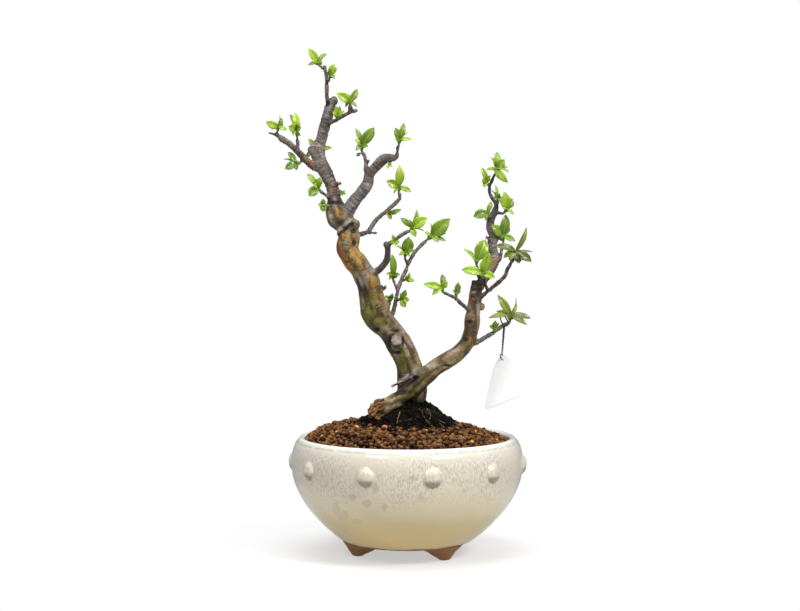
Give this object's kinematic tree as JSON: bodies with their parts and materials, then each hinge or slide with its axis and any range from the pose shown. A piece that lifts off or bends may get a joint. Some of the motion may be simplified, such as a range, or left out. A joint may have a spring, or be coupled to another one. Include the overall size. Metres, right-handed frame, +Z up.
{
  "type": "potted bonsai tree",
  "caption": "Chinese quince bonsai with a leaning fluted trunk, a second trunk and leafing twigs, in a round glazed bowl with a ring of studs and low feet.",
  "frame": {"origin": "centre of the whole object's bounding box in X and Y, at the height of the pot's feet", "axes": "+X to the viewer's right in the picture, +Y away from the viewer, +Z up along the tree"},
  "size_m": [0.232, 0.2071, 0.4452],
  "materials": {
    "pot_glaze": "gloss",
    "soil_grain": "matte",
    "root_peat": "matte",
    "bark": "satin",
    "leaf_green": "satin",
    "leaf_olive": "satin",
    "dry_petal": "matte",
    "tag_card": "matte",
    "tie_wire": "satin",
    "screen_plastic": "matte"
  },
  "bodies": {
    "root": {"pot": "pot_glaze", "soil": "soil_grain", "root_ball": "root_peat", "wood": "bark", "drain_screen": "screen_plastic", "spray_01": "leaf_green", "spray_02": "leaf_green", "spray_03": "leaf_green", "spray_04": "leaf_green", "spray_05": "leaf_green", "spray_06": "leaf_green", "spray_07": "leaf_green", "spray_08": "leaf_green", "spray_09": "leaf_green", "spray_10": "leaf_green", "spray_11": "leaf_green", "spray_12": "leaf_green", "spray_13": "leaf_green", "spray_14": "leaf_green", "spray_15": "leaf_green", "spray_16": "leaf_green", "spray_17": "leaf_green", "spray_18": "leaf_green", "spray_19": "leaf_green", "spray_20": "leaf_green", "spray_21": "leaf_green", "spray_22": "leaf_green", "spray_23": "leaf_olive", "spray_24": "leaf_green", "spray_25": "leaf_green", "spray_26": "leaf_green", "spray_27": "leaf_green", "spray_28": "leaf_green", "spray_29": "leaf_green", "spray_30": "leaf_green", "spray_31": "leaf_green", "spray_32": "leaf_green", "spray_33": "leaf_green", "spray_34": "leaf_olive", "spray_35": "leaf_green", "dry_flower": "dry_petal", "tag": "tag_card", "tag_tie": "tie_wire"}
  },
  "joints": []
}
